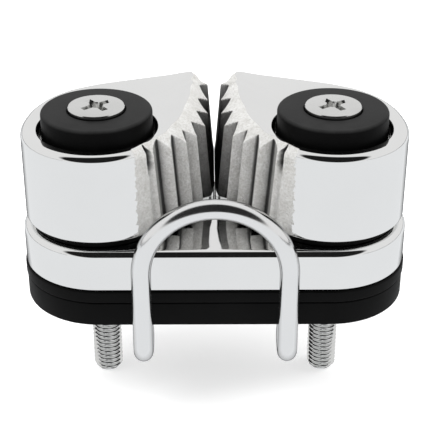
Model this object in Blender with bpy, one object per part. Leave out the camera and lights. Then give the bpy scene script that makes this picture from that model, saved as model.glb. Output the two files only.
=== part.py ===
"""Cam cleat with a wire leading ring: two sprung, toothed cams on a screwed-down base.

Metres, +Z up. X runs across the cleat through both pivots, and the rope enters from -Y
through the wire ring. The origin is on the underside of the lower pad, midway between
the pivots.
"""

import math

import bmesh
import bpy
from mathutils import Matrix, Vector

MM = 0.001

# Plan of the whole cleat
PIVOT_X = 19.0
BASE_HALF_WIDTH = 12.9
BASE_BOTTOM = 6.6
BASE_TOP = 13.7
BASE_EDGE = 1.2
BASE_LOWER_EDGE = 0.3
SCREW_BORE = 2.8
LEG_HOLE = 0.85
LEG_HOLE_SPARE = 0.4
CUT_BEYOND = 2.0

# Two-layer pad under the base
PAD_UPPER_BOTTOM = 4.4
PAD_UPPER_TOP = 6.5
PAD_UPPER_HALF_WIDTH = 13.1
PAD_LOWER_TOP = 4.3
PAD_LOWER_HALF_WIDTH = 12.95
PAD_EDGE = 0.25

# Cam
CAM_BOTTOM = 14.95
CAM_TOP = 30.0
CAM_RADIUS = 12.0
CAM_BORE = 5.8
CAM_RECESS = 9.75
CAM_RACE_FLOOR = 23.8
CAM_POCKET = 8.4
CAM_POCKET_TOP = 20.6
CAM_TOP_INSET = 0.6
TOOTH_TIPS = (-35.5, -22.0, -9.5, 0.6, 13.0, 26.5, 38.3, 48.3)
TOOTH_DEPTH = 2.0
ROOT_SHARE = 0.85
TIP_RADIUS = 17.1
TIP_GROWTH = 0.468
CLOSED_REACH = 18.92
WALL_ANGLE = 25.0
OUTER_BULGE = 0.35
DRAFT_TOP = 1.15
BAND_START = -59.0
BAND_STEPS = 5
CYLINDER_STEPS = 24
REAR_TIP = (16.4, 23.85)
REAR_OUTLINE = (
    (11.1, 22.2),
    (7.6, 21.1),
    (4.6, 20.1),
    (1.6, 19.1),
    (-1.0, 18.2),
    (-3.2, 17.1),
    (-5.4, 15.8),
    (-7.4, 14.1),
    (-9.1, 12.1),
    (-10.4, 9.7),
    (-11.4, 7.1),
    (-12.0, 4.4),
    (-12.3, 2.0),
)
SHOULDER_DROP = 2.3
SHOULDER_WIDTHS = (
    (-59.0, 0.6),
    (-36.0, 1.65),
    (-18.0, 3.5),
    (5.0, 3.9),
    (24.0, 3.4),
    (39.0, 2.9),
    (48.3, 2.0),
)

# Bush, sleeve, washer, balls
FLANGE_RADIUS = 8.95
FLANGE_TOP = 32.9
FLANGE_BOTTOM = 27.2
FLANGE_EDGE = 0.5
FLANGE_EDGE_SHARE = 0.3
BUSH_THROAT = 3.0
BUSH_TUBE = 5.45
BUSH_FOOT = 13.9
BUSH_BORE = 3.85
SLEEVE_OUTER = 3.6
SLEEVE_INNER = 2.75
SLEEVE_TOP = 28.6
SLEEVE_GAP = 0.2
WASHER_INNER = 8.7
WASHER_OUTER = 11.2
WASHER_BOTTOM = 13.85
WASHER_TOP = 14.8
BALL_RADIUS = 1.5
BALL_RING = 7.6
BALL_HEIGHT = 25.55
BALL_COUNT = 12

# Screw, M5 x 50 countersunk with a cross recess
HEAD_TOP = 33.5
HEAD_RADIUS = 4.6
HEAD_RIM = 0.55
HEAD_FLAT_INSET = 0.9
HEAD_EDGE = 0.2
HEAD_SEAT_GAP = 0.25
HEAD_SEAT_DROP = 0.3
HEAD_SEAT_RISE = 2.0
SHANK_RADIUS = 2.1
THREAD_RADIUS = 2.5
THREAD_PITCH = 0.8
THREAD_TOP = 5.0
SCREW_END = -16.9
SCREW_TIP_INSET = 0.5
SCREW_TIP_LENGTH = 1.0
THREAD_RUNOUT = 0.3
RECESS_WIDTH = 1.15
RECESS_REACH = 2.3
RECESS_DEPTH = 2.4
RECESS_TAPER = 0.35
RECESS_OVERSHOOT = 0.5
RECESS_TURN = {"left": 38.0, "right": 32.0}

# Torsion spring
SPRING_WIRE = 0.5
SPRING_RADIUS = 7.2
SPRING_BOTTOM = 15.7
SPRING_PITCH = 1.15
SPRING_TURNS = 3.0
SPRING_LEG_BOTTOM = 11.2
SPRING_LEG_TOP = 22.3

# Wire leading ring
WIRE_RADIUS = 1.6
ARCH_RADIUS = 11.8
ARCH_Y = -14.9
ARCH_SPRING = 10.8
RUN_Z = -5.0
BEND_RADIUS = 2.4
EYE_RADIUS = 4.4
EYE_Z = -3.8
EYE_START = 150.0
EYE_END = -30.0
RUN_STEPS = 8
RUN_HANDLES = (0.6, 0.3)

SIDES = {"left": -1.0, "right": 1.0}
ROUND_STEPS = 40
LEG_HOLE_STEPS = 16
THREAD_STEPS = 16


def clear_scene():
    for obj in list(bpy.data.objects):
        bpy.data.objects.remove(obj)


def collection_named(name):
    made = bpy.data.collections.new(name)
    bpy.context.scene.collection.children.link(made)
    return made


def material(name, color, metallic, roughness):
    made = bpy.data.materials.new(name)
    made.use_nodes = True
    shader = made.node_tree.nodes["Principled BSDF"]
    shader.inputs["Base Color"].default_value = (*color, 1.0)
    shader.inputs["Metallic"].default_value = metallic
    shader.inputs["Roughness"].default_value = roughness
    return made


def object_from(bm, name, collection, origin=(0.0, 0.0, 0.0)):
    """The mesh in millimetres, as an object in metres with its origin at the given point."""
    bmesh.ops.translate(bm, verts=bm.verts, vec=-Vector(origin))
    bmesh.ops.scale(bm, verts=bm.verts, vec=(MM, MM, MM))
    bmesh.ops.recalc_face_normals(bm, faces=bm.faces)
    mesh = bpy.data.meshes.new(name)
    bm.to_mesh(mesh)
    bm.free()
    obj = bpy.data.objects.new(name, mesh)
    obj.location = Vector(origin) * MM
    collection.objects.link(obj)
    return obj


def finish(obj, mat, smooth_angle=35.0):
    obj.data.materials.append(mat)
    for face in obj.data.polygons:
        face.use_smooth = True
    for edge in obj.data.edges:
        edge.use_edge_sharp = False
    obj.data.set_sharp_from_angle(angle=math.radians(smooth_angle))
    return obj


def lathe(profile, steps):
    """A solid of revolution about Z from closed (radius, height) points; radius 0 is on the axis."""
    bm = bmesh.new()
    rings = []
    for radius, height in profile:
        if radius == 0.0:
            rings.append([bm.verts.new((0.0, 0.0, height))])
            continue
        ring = []
        for step in range(steps):
            angle = 2.0 * math.pi * step / steps
            ring.append(bm.verts.new((radius * math.cos(angle), radius * math.sin(angle), height)))
        rings.append(ring)
    pairs = list(zip(rings, rings[1:]))
    if len(rings[0]) > 1:
        pairs.append((rings[-1], rings[0]))
    for upper, lower in pairs:
        for step in range(steps):
            after = (step + 1) % steps
            corners = [upper[step % len(upper)], upper[after % len(upper)]]
            corners += [lower[after % len(lower)], lower[step % len(lower)]]
            face = list(dict.fromkeys(corners))
            if len(face) > 2:
                bm.faces.new(face)
    return bm


def stadium(radius, arc_steps=24):
    """Outline points of the base: two half circles on the pivots, joined by straight sides."""
    points = []
    for centre, start in ((PIVOT_X, -90.0), (-PIVOT_X, 90.0)):
        for step in range(arc_steps + 1):
            angle = math.radians(start + 180.0 * step / arc_steps)
            points.append((centre + radius * math.cos(angle), radius * math.sin(angle)))
    return points


def loft(sections):
    """A solid through closed outlines of equal length, each a list of (x, y, z)."""
    bm = bmesh.new()
    rings = [[bm.verts.new(point) for point in section] for section in sections]
    count = len(rings[0])
    for lower, upper in zip(rings, rings[1:]):
        for step in range(count):
            after = (step + 1) % count
            bm.faces.new((lower[step], lower[after], upper[after], upper[step]))
    bm.faces.new(list(reversed(rings[0])))
    bm.faces.new(rings[-1])
    return bm


def rounded_slab(half_width, bottom, top, edge, bottom_edge):
    """A stadium slab whose top and bottom edges are rounded."""
    sections = []
    for turn in (0.0, 90.0):
        inset = bottom_edge * (1.0 - math.sin(math.radians(turn)))
        height = bottom + bottom_edge * (1.0 - math.cos(math.radians(turn)))
        sections.append([(x, y, height) for x, y in stadium(half_width - inset)])
    for turn in (0.0, 30.0, 60.0, 90.0):
        inset = edge * (1.0 - math.cos(math.radians(turn)))
        height = top - edge + edge * math.sin(math.radians(turn))
        sections.append([(x, y, height) for x, y in stadium(half_width - inset)])
    return loft(sections)


def cutter(bm, name, helpers, origin=(0.0, 0.0, 0.0)):
    made = object_from(bm, name, helpers, origin)
    made.hide_render = True
    made.display_type = "WIRE"
    return made


def cut(obj, tool, operation="DIFFERENCE"):
    modifier = obj.modifiers.new(tool.name, "BOOLEAN")
    modifier.operation = operation
    modifier.solver = "EXACT"
    modifier.object = tool


def cylinder_cutter(name, helpers, place, radius, bottom, top, steps=ROUND_STEPS):
    """An upright cylinder at the (x, y) place."""
    bm = lathe(((0.0, top), (radius, top), (radius, bottom), (0.0, bottom)), steps)
    bmesh.ops.translate(bm, verts=bm.verts, vec=(*place, 0.0))
    return cutter(bm, name, helpers)


def leg_point(side, angle_deg):
    """Where a spring leg stands, on the coil's radius about that side's pivot."""
    angle = math.radians(angle_deg)
    return side * (PIVOT_X + SPRING_RADIUS * math.cos(angle)), SPRING_RADIUS * math.sin(angle)


def build_base(parts, helpers, steel):
    bm = rounded_slab(BASE_HALF_WIDTH, BASE_BOTTOM, BASE_TOP, BASE_EDGE, BASE_LOWER_EDGE)
    base = object_from(bm, "base_plate", parts)
    above = BASE_TOP + CUT_BEYOND
    below = BASE_BOTTOM - CUT_BEYOND
    hole_floor = SPRING_LEG_BOTTOM - LEG_HOLE_SPARE
    for label, side in SIDES.items():
        centre = (side * PIVOT_X, 0.0)
        cut(base, cylinder_cutter(f"base_bore_{label}", helpers, centre, SCREW_BORE, below, above))
        foot = leg_point(side, 0.0)
        name = f"base_leg_hole_{label}"
        cut(base, cylinder_cutter(name, helpers, foot, LEG_HOLE, hole_floor, above, LEG_HOLE_STEPS))
    finish(base, steel)


def build_pads(parts, helpers, rubber):
    upper = rounded_slab(PAD_UPPER_HALF_WIDTH, PAD_UPPER_BOTTOM, PAD_UPPER_TOP, PAD_EDGE, PAD_EDGE)
    lower = rounded_slab(PAD_LOWER_HALF_WIDTH, 0.0, PAD_LOWER_TOP, PAD_EDGE, PAD_EDGE)
    above = PAD_UPPER_TOP + CUT_BEYOND
    for name, bm in (("pad_upper", upper), ("pad_lower", lower)):
        pad = object_from(bm, name, parts)
        for label, side in SIDES.items():
            centre = (side * PIVOT_X, 0.0)
            bore = f"{name}_bore_{label}"
            cut(pad, cylinder_cutter(bore, helpers, centre, SCREW_BORE, -CUT_BEYOND, above))
        finish(pad, rubber)


def interpolate(pairs, value):
    for (x0, y0), (x1, y1) in zip(pairs, pairs[1:]):
        if value <= x1:
            return y0 + (y1 - y0) * max(0.0, value - x0) / (x1 - x0)
    return pairs[-1][1]


def tip_radius(angle_deg):
    """The tooth tips lie on a log spiral, then on a plane just short of the other cam.

    Ahead of the first tooth the side runs straight back to the plain cylinder.
    """
    turn = math.radians(angle_deg)
    if angle_deg < TOOTH_TIPS[0]:
        share = (angle_deg - BAND_START) / (TOOTH_TIPS[0] - BAND_START)
        return CAM_RADIUS + (tip_radius(TOOTH_TIPS[0]) - CAM_RADIUS) * share
    wall = CLOSED_REACH / math.cos(turn)
    if angle_deg > WALL_ANGLE:
        return wall
    return min(wall, TIP_RADIUS * math.exp(TIP_GROWTH * turn))


def tooth_points():
    """(depth, angle) along the toothed face, from the first tooth to the last.

    Each tooth has a long ramp behind its tip, then a steep flank up to the next tip.
    """
    points = []
    for angle, following in zip(TOOTH_TIPS, TOOTH_TIPS[1:]):
        root_turn = ROOT_SHARE * (following - angle)
        for share in (0.0, 0.5, 1.0):
            points.append((TOOTH_DEPTH * share, angle + root_turn * share))
    points.append((0.0, TOOTH_TIPS[-1]))
    return points


def front_band():
    """(depth, angle) from the plain cylinder to the first tooth, with no tooth cut into it."""
    band = TOOTH_TIPS[0] - BAND_START
    return [(0.0, BAND_START + band * step / BAND_STEPS) for step in range(BAND_STEPS)]


def cam_outline(level):
    """(x, y) of the left cam about its pivot, +X towards the other cam, at one level.

    Level 0 is the bottom, 1 the top of the teeth, and 2 the top face, where the toothed
    side has no teeth and is drawn in by the shoulder.
    """
    outline = []
    draft = DRAFT_TOP * min(level, 1.0)
    for depth, angle in front_band() + tooth_points():
        share = min(1.0, (angle - BAND_START) / (TOOTH_TIPS[0] - BAND_START))
        pull = draft * share
        radius = tip_radius(angle)
        if level == 2:
            pull += interpolate(SHOULDER_WIDTHS, angle)
        else:
            radius -= depth
        turn = math.radians(angle)
        outline.append((radius * math.cos(turn) - pull, radius * math.sin(turn)))
    outline.append((REAR_TIP[0] - draft, REAR_TIP[1]))
    outline += list(REAR_OUTLINE)
    for step in range(CYLINDER_STEPS):
        turn = math.radians(180.0 + (180.0 + BAND_START) * step / CYLINDER_STEPS)
        radius = CAM_RADIUS + OUTER_BULGE * (1.0 - step / CYLINDER_STEPS) ** 2
        outline.append((radius * math.cos(turn), radius * math.sin(turn)))
    return outline


def cam_sections():
    """The cam's outlines from bottom to top, the last three of them rounding its shoulder."""
    sections = [[(x, y, CAM_BOTTOM) for x, y in cam_outline(0)]]
    tooth_top = CAM_TOP - SHOULDER_DROP
    share = (tooth_top - CAM_BOTTOM) / (CAM_TOP - CAM_BOTTOM)
    lower = cam_outline(0)
    upper = cam_outline(1)
    body = [(a + (c - a) * share, b + (d - b) * share) for (a, b), (c, d) in zip(lower, upper)]
    sections.append([(x, y, tooth_top) for x, y in body])
    crown = cam_outline(2)
    for turn in (30.0, 60.0, 90.0):
        blend = 1.0 - math.cos(math.radians(turn))
        rise = math.sin(math.radians(turn))
        ring = []
        for (a, b), (c, d) in zip(body, crown):
            x = a + (c - a) * blend
            y = b + (d - b) * blend
            keep = 1.0 - CAM_TOP_INSET * blend / math.hypot(x, y)
            ring.append((x * keep, y * keep, tooth_top + SHOULDER_DROP * rise))
        sections.append(ring)
    return sections


def build_cam(parts, helpers, steel, label, side):
    bm = loft(cam_sections())
    if side > 0:
        bmesh.ops.scale(bm, verts=bm.verts, vec=(-1.0, 1.0, 1.0))
    centre = side * PIVOT_X
    bmesh.ops.translate(bm, verts=bm.verts, vec=(centre, 0.0, 0.0))
    cam = object_from(bm, f"cam_{label}", parts, (centre, 0.0, 0.0))
    above = CAM_TOP + CUT_BEYOND
    below = CAM_BOTTOM - CUT_BEYOND
    profile = (
        (0.0, above),
        (CAM_RECESS, above),
        (CAM_RECESS, CAM_RACE_FLOOR),
        (CAM_BORE, CAM_RACE_FLOOR),
        (CAM_BORE, CAM_POCKET_TOP),
        (CAM_POCKET, CAM_POCKET_TOP),
        (CAM_POCKET, below),
        (0.0, below),
    )
    hollow = lathe(profile, ROUND_STEPS)
    bmesh.ops.translate(hollow, verts=hollow.verts, vec=(centre, 0.0, 0.0))
    cut(cam, cutter(hollow, f"cam_hollow_{label}", helpers))
    head = leg_point(side, 180.0)
    bottom = CAM_POCKET_TOP - CUT_BEYOND
    top = SPRING_LEG_TOP + LEG_HOLE_SPARE
    name = f"cam_leg_hole_{label}"
    cut(cam, cylinder_cutter(name, helpers, head, LEG_HOLE, bottom, top, LEG_HOLE_STEPS))
    finish(cam, steel, 28.0)


def on_pivot(bm, name, parts, mat, side):
    """A mesh made about Z, moved to that side's pivot, with its origin on the pivot axis."""
    centre = (side * PIVOT_X, 0.0, 0.0)
    bmesh.ops.translate(bm, verts=bm.verts, vec=centre)
    return finish(object_from(bm, name, parts, centre), mat)


def build_bush(parts, black, label, side):
    """The black flanged bush: a tube the cam turns on, with a seat for the screw head."""
    step_height = SLEEVE_TOP + SLEEVE_GAP
    seat = HEAD_RADIUS + HEAD_SEAT_GAP
    chamfer = FLANGE_EDGE_SHARE * FLANGE_EDGE
    profile = (
        (BUSH_BORE, BUSH_FOOT),
        (BUSH_BORE, step_height),
        (BUSH_THROAT, step_height),
        (BUSH_THROAT, HEAD_TOP - HEAD_RIM - HEAD_RADIUS + HEAD_SEAT_RISE),
        (seat, HEAD_TOP - HEAD_RIM - HEAD_SEAT_DROP),
        (seat, FLANGE_TOP),
        (FLANGE_RADIUS - FLANGE_EDGE, FLANGE_TOP),
        (FLANGE_RADIUS - chamfer, FLANGE_TOP - chamfer),
        (FLANGE_RADIUS, FLANGE_TOP - FLANGE_EDGE),
        (FLANGE_RADIUS, FLANGE_BOTTOM),
        (BUSH_TUBE, FLANGE_BOTTOM),
        (BUSH_TUBE, BUSH_FOOT),
    )
    on_pivot(lathe(profile, ROUND_STEPS), f"pivot_bush_{label}", parts, black, side)


def build_sleeve(parts, steel, label, side):
    profile = (
        (SLEEVE_INNER, BUSH_FOOT),
        (SLEEVE_INNER, SLEEVE_TOP),
        (SLEEVE_OUTER, SLEEVE_TOP),
        (SLEEVE_OUTER, BUSH_FOOT),
    )
    on_pivot(lathe(profile, ROUND_STEPS), f"bush_sleeve_{label}", parts, steel, side)


def build_washer(parts, black, label, side):
    profile = (
        (WASHER_INNER, WASHER_BOTTOM),
        (WASHER_INNER, WASHER_TOP),
        (WASHER_OUTER, WASHER_TOP),
        (WASHER_OUTER, WASHER_BOTTOM),
    )
    on_pivot(lathe(profile, ROUND_STEPS), f"thrust_washer_{label}", parts, black, side)


def screw_profile():
    """(radius, height) down the screw, with the thread as rings of the thread's pitch."""
    neck = HEAD_TOP - HEAD_RIM - (HEAD_RADIUS - THREAD_RADIUS)
    profile = [
        (0.0, HEAD_TOP),
        (HEAD_RADIUS - HEAD_FLAT_INSET, HEAD_TOP),
        (HEAD_RADIUS - HEAD_EDGE, HEAD_TOP - HEAD_EDGE),
        (HEAD_RADIUS, HEAD_TOP - HEAD_RIM),
        (THREAD_RADIUS, neck),
        (THREAD_RADIUS, THREAD_TOP),
    ]
    turns = int((THREAD_TOP - SCREW_END - SCREW_TIP_LENGTH) / THREAD_PITCH)
    height = THREAD_TOP
    for _ in range(turns):
        profile.append((SHANK_RADIUS, height - 0.5 * THREAD_PITCH))
        height -= THREAD_PITCH
        profile.append((THREAD_RADIUS, height))
    profile.append((SHANK_RADIUS, height - THREAD_RUNOUT))
    profile.append((SHANK_RADIUS - SCREW_TIP_INSET, SCREW_END))
    profile.append((0.0, SCREW_END))
    return profile


def recess_cutters(helpers, label, centre):
    """Two crossed, tapered bars: the driver recess in a screw head."""
    arms = []
    length = RECESS_DEPTH + RECESS_OVERSHOOT
    for index, turn in enumerate((0.0, 90.0)):
        bm = bmesh.new()
        bmesh.ops.create_cone(
            bm, cap_ends=True, segments=4, radius1=RECESS_TAPER, radius2=1.0, depth=length
        )
        spin = Matrix.Rotation(math.radians(45.0), 4, "Z")
        bmesh.ops.transform(bm, matrix=spin, verts=bm.verts)
        stretch = (RECESS_REACH * math.sqrt(2.0), RECESS_WIDTH / math.sqrt(2.0), 1.0)
        bmesh.ops.scale(bm, verts=bm.verts, vec=stretch)
        aim = Matrix.Rotation(math.radians(turn + RECESS_TURN[label]), 4, "Z")
        bmesh.ops.transform(bm, matrix=aim, verts=bm.verts)
        height = HEAD_TOP - RECESS_DEPTH + 0.5 * length
        bmesh.ops.translate(bm, verts=bm.verts, vec=(centre, 0.0, height))
        arms.append(cutter(bm, f"recess_arm_{label}_{index}", helpers))
    return arms


def build_screw(parts, helpers, steel, label, side):
    name = f"mounting_screw_{label}"
    screw = on_pivot(lathe(screw_profile(), THREAD_STEPS), name, parts, steel, side)
    for arm in recess_cutters(helpers, label, side * PIVOT_X):
        cut(screw, arm)


def rod(parts, name, points, radius, mat, sides_resolution, origin=(0.0, 0.0, 0.0)):
    """A round rod along the points, with closed ends, as a mesh object."""
    curve = bpy.data.curves.new(name, "CURVE")
    curve.dimensions = "3D"
    curve.bevel_depth = radius * MM
    curve.bevel_resolution = sides_resolution
    curve.use_fill_caps = True
    spline = curve.splines.new("POLY")
    spline.points.add(len(points) - 1)
    for slot, point in zip(spline.points, points):
        slot.co = (*((Vector(point) - Vector(origin)) * MM), 1.0)
    source = bpy.data.objects.new(name + "_path", curve)
    bpy.context.scene.collection.objects.link(source)
    bpy.context.view_layer.update()
    graph = bpy.context.evaluated_depsgraph_get()
    mesh = bpy.data.meshes.new_from_object(source.evaluated_get(graph))
    bm = bmesh.new()
    bm.from_mesh(mesh)
    bmesh.ops.remove_doubles(bm, verts=bm.verts, dist=1e-6)
    bmesh.ops.recalc_face_normals(bm, faces=bm.faces)
    bm.to_mesh(mesh)
    bm.free()
    mesh.name = name
    bpy.data.objects.remove(source)
    made = bpy.data.objects.new(name, mesh)
    made.location = Vector(origin) * MM
    parts.objects.link(made)
    finish(made, mat, 50.0)


def arc(centre, first, second, radius, start, end, steps):
    """Points on an arc in the plane of two unit directions, angles in degrees."""
    points = []
    for step in range(steps + 1):
        angle = math.radians(start + (end - start) * step / steps)
        points.append(centre + radius * (math.cos(angle) * first + math.sin(angle) * second))
    return points


def run_between(start, start_aim, end, end_aim):
    """Points of a smooth run that leaves and arrives along the given directions, ends left out."""
    length = (end - start).length
    first = start + start_aim.normalized() * length * RUN_HANDLES[0]
    second = end - end_aim.normalized() * length * RUN_HANDLES[1]
    points = []
    for step in range(1, RUN_STEPS):
        t = step / RUN_STEPS
        u = 1.0 - t
        near = u**3 * start + 3.0 * u * u * t * first
        points.append(near + 3.0 * u * t * t * second + t**3 * end)
    return points


def wire_half(side):
    """Centre line of one half of the leading ring, from the top of the arch to the eye's end."""
    across = Vector((side, 0.0, 0.0))
    up = Vector((0.0, 0.0, 1.0))
    back = Vector((0.0, 1.0, 0.0))
    points = arc(Vector((0.0, ARCH_Y, ARCH_SPRING)), across, up, ARCH_RADIUS, 90.0, 0.0, 14)
    bend = Vector((side * ARCH_RADIUS, ARCH_Y + BEND_RADIUS, RUN_Z + BEND_RADIUS))
    points += arc(bend, -back, -up, BEND_RADIUS, 0.0, 90.0, 6)
    eye = Vector((side * PIVOT_X, 0.0, EYE_Z))
    ring = arc(eye, across, back, EYE_RADIUS, EYE_START, EYE_END, 14)
    return points + run_between(points[-1], back, ring[0], ring[1] - ring[0]) + ring


def build_wire(parts, steel):
    left = wire_half(-1.0)
    right = wire_half(1.0)
    points = list(reversed(left)) + right[1:]
    rod(parts, "wire_leading_ring", points, WIRE_RADIUS, steel, 2)


def build_spring(parts, steel, label, side):
    """Three turns, with one leg down into the base and one up into the cam."""
    centre = Vector((side * PIVOT_X, 0.0, 0.0))
    steps_per_turn = 16
    total = int(SPRING_TURNS * steps_per_turn) + steps_per_turn // 2
    points = []
    for step in range(total + 1):
        angle = 2.0 * math.pi * step / steps_per_turn
        height = SPRING_BOTTOM + SPRING_PITCH * step / steps_per_turn
        x = side * SPRING_RADIUS * math.cos(angle)
        points.append(centre + Vector((x, SPRING_RADIUS * math.sin(angle), height)))
    foot = points[0].copy()
    foot.z = SPRING_LEG_BOTTOM
    head = points[-1].copy()
    head.z = SPRING_LEG_TOP
    points = [foot] + points + [head]
    rod(parts, f"torsion_spring_{label}", points, SPRING_WIRE, steel, 1, tuple(centre))


def build_balls(parts, steel, label, side):
    """A ring of loose balls; each ball's origin is on the pivot axis, which the ring turns about."""
    axis = (side * PIVOT_X, 0.0, 0.0)
    for index in range(BALL_COUNT):
        angle = math.radians(360.0 * index / BALL_COUNT)
        place = (
            side * (PIVOT_X + BALL_RING * math.cos(angle)),
            BALL_RING * math.sin(angle),
            BALL_HEIGHT,
        )
        bm = bmesh.new()
        bmesh.ops.create_icosphere(bm, subdivisions=2, radius=BALL_RADIUS)
        bmesh.ops.translate(bm, verts=bm.verts, vec=place)
        finish(object_from(bm, f"ball_{label}_{index + 1:02d}", parts, axis), steel, 60.0)


def main():
    clear_scene()
    parts = collection_named("cam_cleat")
    helpers = collection_named("cutters")
    cast = material("cast_stainless", (0.72, 0.72, 0.71), 1.0, 0.25)
    polished = material("polished_stainless", (0.8, 0.8, 0.8), 1.0, 0.1)
    ball_steel = material("ball_steel", (0.85, 0.85, 0.86), 1.0, 0.05)
    spring_steel = material("spring_steel", (0.5, 0.5, 0.52), 1.0, 0.3)
    rubber = material("pad_black", (0.02, 0.02, 0.02), 0.0, 0.5)
    black = material("bush_black", (0.035, 0.035, 0.035), 0.0, 0.45)
    build_base(parts, helpers, cast)
    build_pads(parts, helpers, rubber)
    build_wire(parts, polished)
    for label, side in SIDES.items():
        build_cam(parts, helpers, cast, label, side)
        build_bush(parts, black, label, side)
        build_sleeve(parts, polished, label, side)
        build_washer(parts, black, label, side)
        build_screw(parts, helpers, polished, label, side)
        build_spring(parts, spring_steel, label, side)
        build_balls(parts, ball_steel, label, side)


main()
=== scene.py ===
"""Looks for the cam cleat with a wire leading ring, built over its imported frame.

The scene is in metres. The named lengths below are in millimetres and the named angles in
degrees. The rope enters from -Y. Each cam is drawn about its own pivot, as the left one, with
+X towards the other cam.
"""

import math

import bmesh
import bpy
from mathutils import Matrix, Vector


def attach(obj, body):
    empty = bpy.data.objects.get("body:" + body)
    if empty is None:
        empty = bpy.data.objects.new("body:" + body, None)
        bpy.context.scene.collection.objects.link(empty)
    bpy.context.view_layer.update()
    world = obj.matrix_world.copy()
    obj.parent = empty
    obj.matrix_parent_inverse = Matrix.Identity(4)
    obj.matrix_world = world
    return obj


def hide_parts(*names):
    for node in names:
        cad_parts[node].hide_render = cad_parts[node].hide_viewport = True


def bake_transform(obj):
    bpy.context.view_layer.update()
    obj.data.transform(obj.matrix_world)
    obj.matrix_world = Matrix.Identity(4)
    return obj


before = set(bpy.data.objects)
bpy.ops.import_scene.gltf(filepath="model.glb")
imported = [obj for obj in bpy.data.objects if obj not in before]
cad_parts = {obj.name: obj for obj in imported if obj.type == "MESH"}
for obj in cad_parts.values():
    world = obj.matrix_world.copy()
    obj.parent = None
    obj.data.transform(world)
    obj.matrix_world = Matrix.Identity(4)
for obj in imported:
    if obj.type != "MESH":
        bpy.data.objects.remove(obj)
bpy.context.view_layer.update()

MM = 0.001
SIDES = {"left": -1.0, "right": 1.0}
PIVOT_X = 19.0
BALLS = 12

# Base and pad: piece, node, slot, half width, bottom, top, top edge, bottom edge
SLABS = (
    ("cast_base", "base_plate", "cast_stainless", 12.9, 6.6, 13.7, 1.2, 0.3),
    ("pad_sheet_upper", "pad_upper", "pad_black", 13.1, 4.4, 6.5, 0.3, 0.25),
    ("pad_sheet_lower", "pad_lower", "pad_black", 12.95, 0.0, 4.3, 0.25, 0.35),
)
SLAB_ARC_STEPS = 72
SCREW_BORE = 2.8
CUTTER_LENGTH = 40.0
CUTTER_MIDDLE = 5.0

# Cam body
CAM_BOTTOM = 14.95
CAM_TOP = 30.0
CAM_RADIUS = 12.0
CAM_BORE = 5.8
CAM_RECESS = 9.75
RECESS_RIM = 0.35
RACE_FLOOR = 23.8
POCKET = 8.4
POCKET_TOP = 20.6
FOOT_EDGE = 0.25
FOOT_SHARES = (0.0, 0.15, 0.45, 1.0)
CAM_STEPS = 900
WALL_LEVELS = 32

# Plain side of the cam: the wall from the rear tip, then a cylinder with a slight bulge
REAR_TIP = (16.4, 23.85)
REAR_WALL = (
    (11.3, 22.5), (7.7, 21.35), (4.65, 20.35), (1.6, 19.35), (-1.0, 18.4), (-3.25, 17.3),
    (-5.5, 16.0), (-7.5, 14.25), (-9.2, 12.2), (-10.55, 9.8), (-11.55, 7.2), (-12.15, 4.45),
    (-12.45, 2.0),
)
OUTER_BULGE = 0.45
CYLINDER_ANGLES = (180.0, 210.0, 255.0, 301.0)

# Toothed side: the tips lie on a log spiral, then on a plane that meets the other cam
TIP_RADIUS = 17.1
TIP_GROWTH = 0.468
CLOSED_REACH = 18.995
WALL_ANGLE = 25.0
TOOTH_TIPS = (-35.5, -22.0, -9.5, 0.6, 13.0, 26.5, 38.3, 48.3)
TOOTH_DEPTH = 2.15
TOOTH_SOFTENING = (0.15, 0.7, 0.15)
ROOT_SHARE = 0.85
RAMP_POWER = 0.75
BAND_START = -59.0
BAND_POWER = 1.6
DRAFT_TOP = 1.15
DRAFT_FADE = (56.0, 64.0)
CONTACT_TOP = 16.0

# The inner grooves are closed at their foot, over these heights and from these angles on
GROOVE_FOOT = (15.4, 17.5)
GROOVE_CLOSING = (8.0, 16.0)

# Ragged casting hollow ahead of the first tooth; each wave is (size, frequency, phase)
HOLLOW_MIDDLE = -40.0
HOLLOW_HALF_WIDTH = 4.0
HOLLOW_DEPTH = (0.35, 1.5)
HOLLOW_RISE = (24.5, 27.0)
HOLLOW_WAVES = ((0.8, 2.9, 0.0), (0.5, 6.1, 1.0))

# Rounded shoulder round the cam's top, as (angle, value) pairs
SHOULDER_WIDTH = (
    (-59, 1.2), (-36, 1.6), (-18, 2.8), (5, 4.2), (24, 4.4), (40, 3.9), (46, 4.2), (50, 3.4),
    (54, 1.0), (56, 0.5), (62, 0.9), (150, 1.2), (301, 1.2),
)
SHOULDER_DROP = (
    (-59, 1.2), (-36, 1.8), (-18, 2.1), (5, 2.2), (24, 2.2), (44, 2.1), (50, 1.7), (56, 0.9),
    (150, 1.2), (301, 1.2),
)
SHOULDER_POWER = ((-59, 2.0), (-45, 1.25), (50, 1.25), (58, 2.0), (301, 2.0))
SHOULDER_BLEND = 0.08
MOST_DROP = 2.2

# Where the cam is rough, and how much shade is painted on it: by share of the way from one tip to the next
ROUGH_START = BAND_START + 2.5
ROUGH_END = 55.3
ROUGH_WAVE = 1.3
RAMP_PAINTED_SHADE = ((0.0, 0.0), (0.05, 0.4), (0.4, 0.45), (0.65, 1.0), (0.84, 1.0), (0.88, 0.0))
# Painted shade in the casting hollow, by height
HOLLOW_SHADE_RISE = (25.5, 27.0)
HOLLOW_LEAST_SHADE = 0.15
# Painted shade on the inner teeth, by angle
INNER_SHADE_START = (2.0, 18.0)
INNER_SHADE_END = (47.0, 51.0)

# Bush
FLANGE_RADIUS = 9.0
FLANGE_TOP = 32.9
FLANGE_BOTTOM = 27.2
FLANGE_EDGE = 0.55
FLANGE_UNDER_EDGE = 0.2
BUSH_TUBE = 5.45
BUSH_FOOT = 13.9
BUSH_BORE = 3.85
BUSH_STEPS = 128
SLEEVE_TOP = 28.6
SLEEVE_SPARE = 0.2
SCREW_HOLE = 3.0
SEAT_FOOT = 30.95
SEAT_SPARE = 0.12
SEAT_WALL = 0.5

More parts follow.
